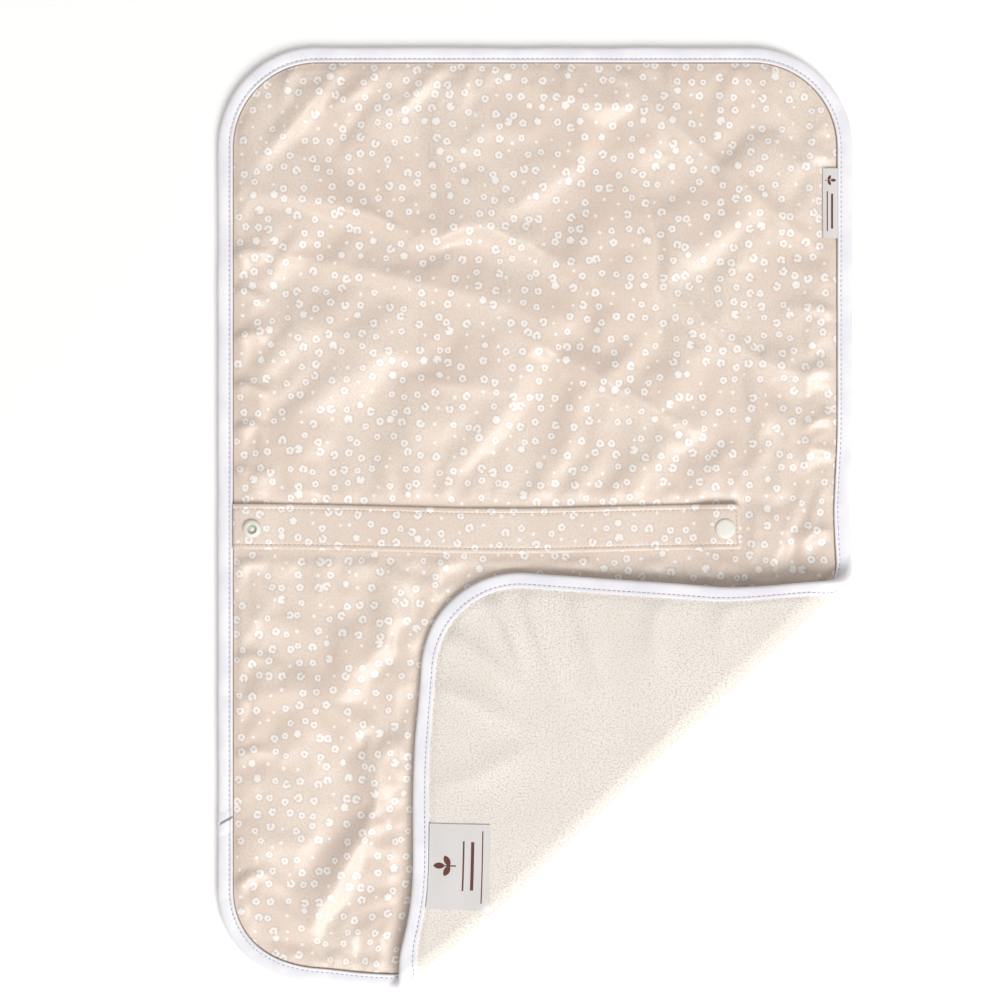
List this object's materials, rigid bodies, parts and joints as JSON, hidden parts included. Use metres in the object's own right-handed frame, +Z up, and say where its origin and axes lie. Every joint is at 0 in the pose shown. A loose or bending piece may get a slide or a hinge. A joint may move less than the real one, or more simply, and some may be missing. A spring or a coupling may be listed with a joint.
{
  "type": "changing pad",
  "caption": "Padded travel changing mat with printed waterproof cover, pile lining, taped edge, a turned corner and a press-stud strap.",
  "frame": {"origin": "under the middle of the mat's outline, on the surface that it lies on", "axes": "+X across the mat towards the edge that is turned over, +Y along the mat away from the turned corner, +Z up out of the printed side"},
  "size_m": [0.4009, 0.5952, 0.0233],
  "materials": {
    "printed_cover": "satin laminated polyester with a small blossom print",
    "wadding": "white polyester wadding",
    "pile_lining": "ivory short looped pile",
    "edge_tape": "pale folded satin tape",
    "stiffener": "non-woven stiffener",
    "snap_resin": "moulded resin",
    "label_satin": "pale satin ribbon"
  },
  "bodies": {
    "mat": {"cover_middle": "printed_cover", "wadding_middle": "wadding", "lining_middle": "pile_lining", "binding_left": "edge_tape", "binding_right": "edge_tape", "binding_join": "edge_tape", "cover_fold_band": "printed_cover", "wadding_fold_band": "wadding", "lining_fold_band": "pile_lining", "binding_fold_band": "edge_tape"},
    "corner_roll": {"cover_roll": "printed_cover", "wadding_roll": "wadding", "lining_roll": "pile_lining", "binding_roll_foot": "edge_tape", "binding_roll_top": "edge_tape"},
    "upper": {"cover_upper": "printed_cover", "wadding_upper": "wadding", "lining_upper": "pile_lining", "binding_upper": "edge_tape"},
    "corner": {"cover_corner": "printed_cover", "wadding_corner": "wadding", "lining_corner": "pile_lining", "binding_corner": "edge_tape"},
    "strap": {"strap_face": "printed_cover", "strap_stiffener": "stiffener", "strap_back": "printed_cover", "root_snap_cap": "snap_resin", "root_snap_socket": "snap_resin"},
    "strap_end": {"strap_end_face": "printed_cover", "strap_end_stiffener": "stiffener", "strap_end_back": "printed_cover", "tip_snap_cap": "snap_resin", "tip_snap_stud": "snap_resin"},
    "side_tag": {"side_tag": "label_satin"},
    "care_label": {"care_label": "label_satin"}
  },
  "joints": [
    {"name": "corner_fold", "type": "hinge", "parent": "mat", "child": "corner_roll", "pos_m": [0.05779, -0.1636, 0.00436], "axis": [0.7268, 0.6869, 0.0023], "range_deg": [0, 91.5], "deforming": ["cover_roll", "wadding_roll", "lining_roll", "binding_roll_foot", "binding_roll_top"]},
    {"name": "corner_turn", "type": "hinge", "parent": "corner_roll", "child": "corner", "pos_m": [0.0574, -0.16355, 0.01555], "axis": [0.7263, 0.6871, 0.0192], "range_deg": [0, 91.5], "deforming": ["cover_roll", "wadding_roll", "lining_roll", "binding_roll_foot", "binding_roll_top"]},
    {"name": "upper_fold", "type": "hinge", "parent": "mat", "child": "upper", "pos_m": [0, 0.099, 0.0028], "axis": [1, 0, 0], "range_deg": [-160, 160], "deforming": ["cover_fold_band", "wadding_fold_band", "lining_fold_band", "binding_fold_band"]},
    {"name": "strap_lift", "type": "hinge", "parent": "mat", "child": "strap", "pos_m": [-0.1902, -0.0065, 0.0069], "axis": [0, -1, 0], "range_deg": [0, 150]},
    {"name": "strap_end_fold", "type": "hinge", "parent": "strap", "child": "strap_end", "pos_m": [0.025, -0.0065, 0.0072], "axis": [0, -1, 0], "range_deg": [0, 165]},
    {"name": "side_tag_flip", "type": "hinge", "parent": "upper", "child": "side_tag", "pos_m": [0.1902, 0.1985, 0.0062], "axis": [0, 1, 0], "range_deg": [0, 165]},
    {"name": "care_label_lift", "type": "hinge", "parent": "corner", "child": "care_label", "pos_m": [-0.06201, -0.2132, 0.01556], "axis": [-0.0738, -0.997, 0.0214], "range_deg": [0, 165]}
  ],
  "couplings": [
    {"joint": "corner_turn", "follows": "corner_fold", "ratio": 1}
  ]
}
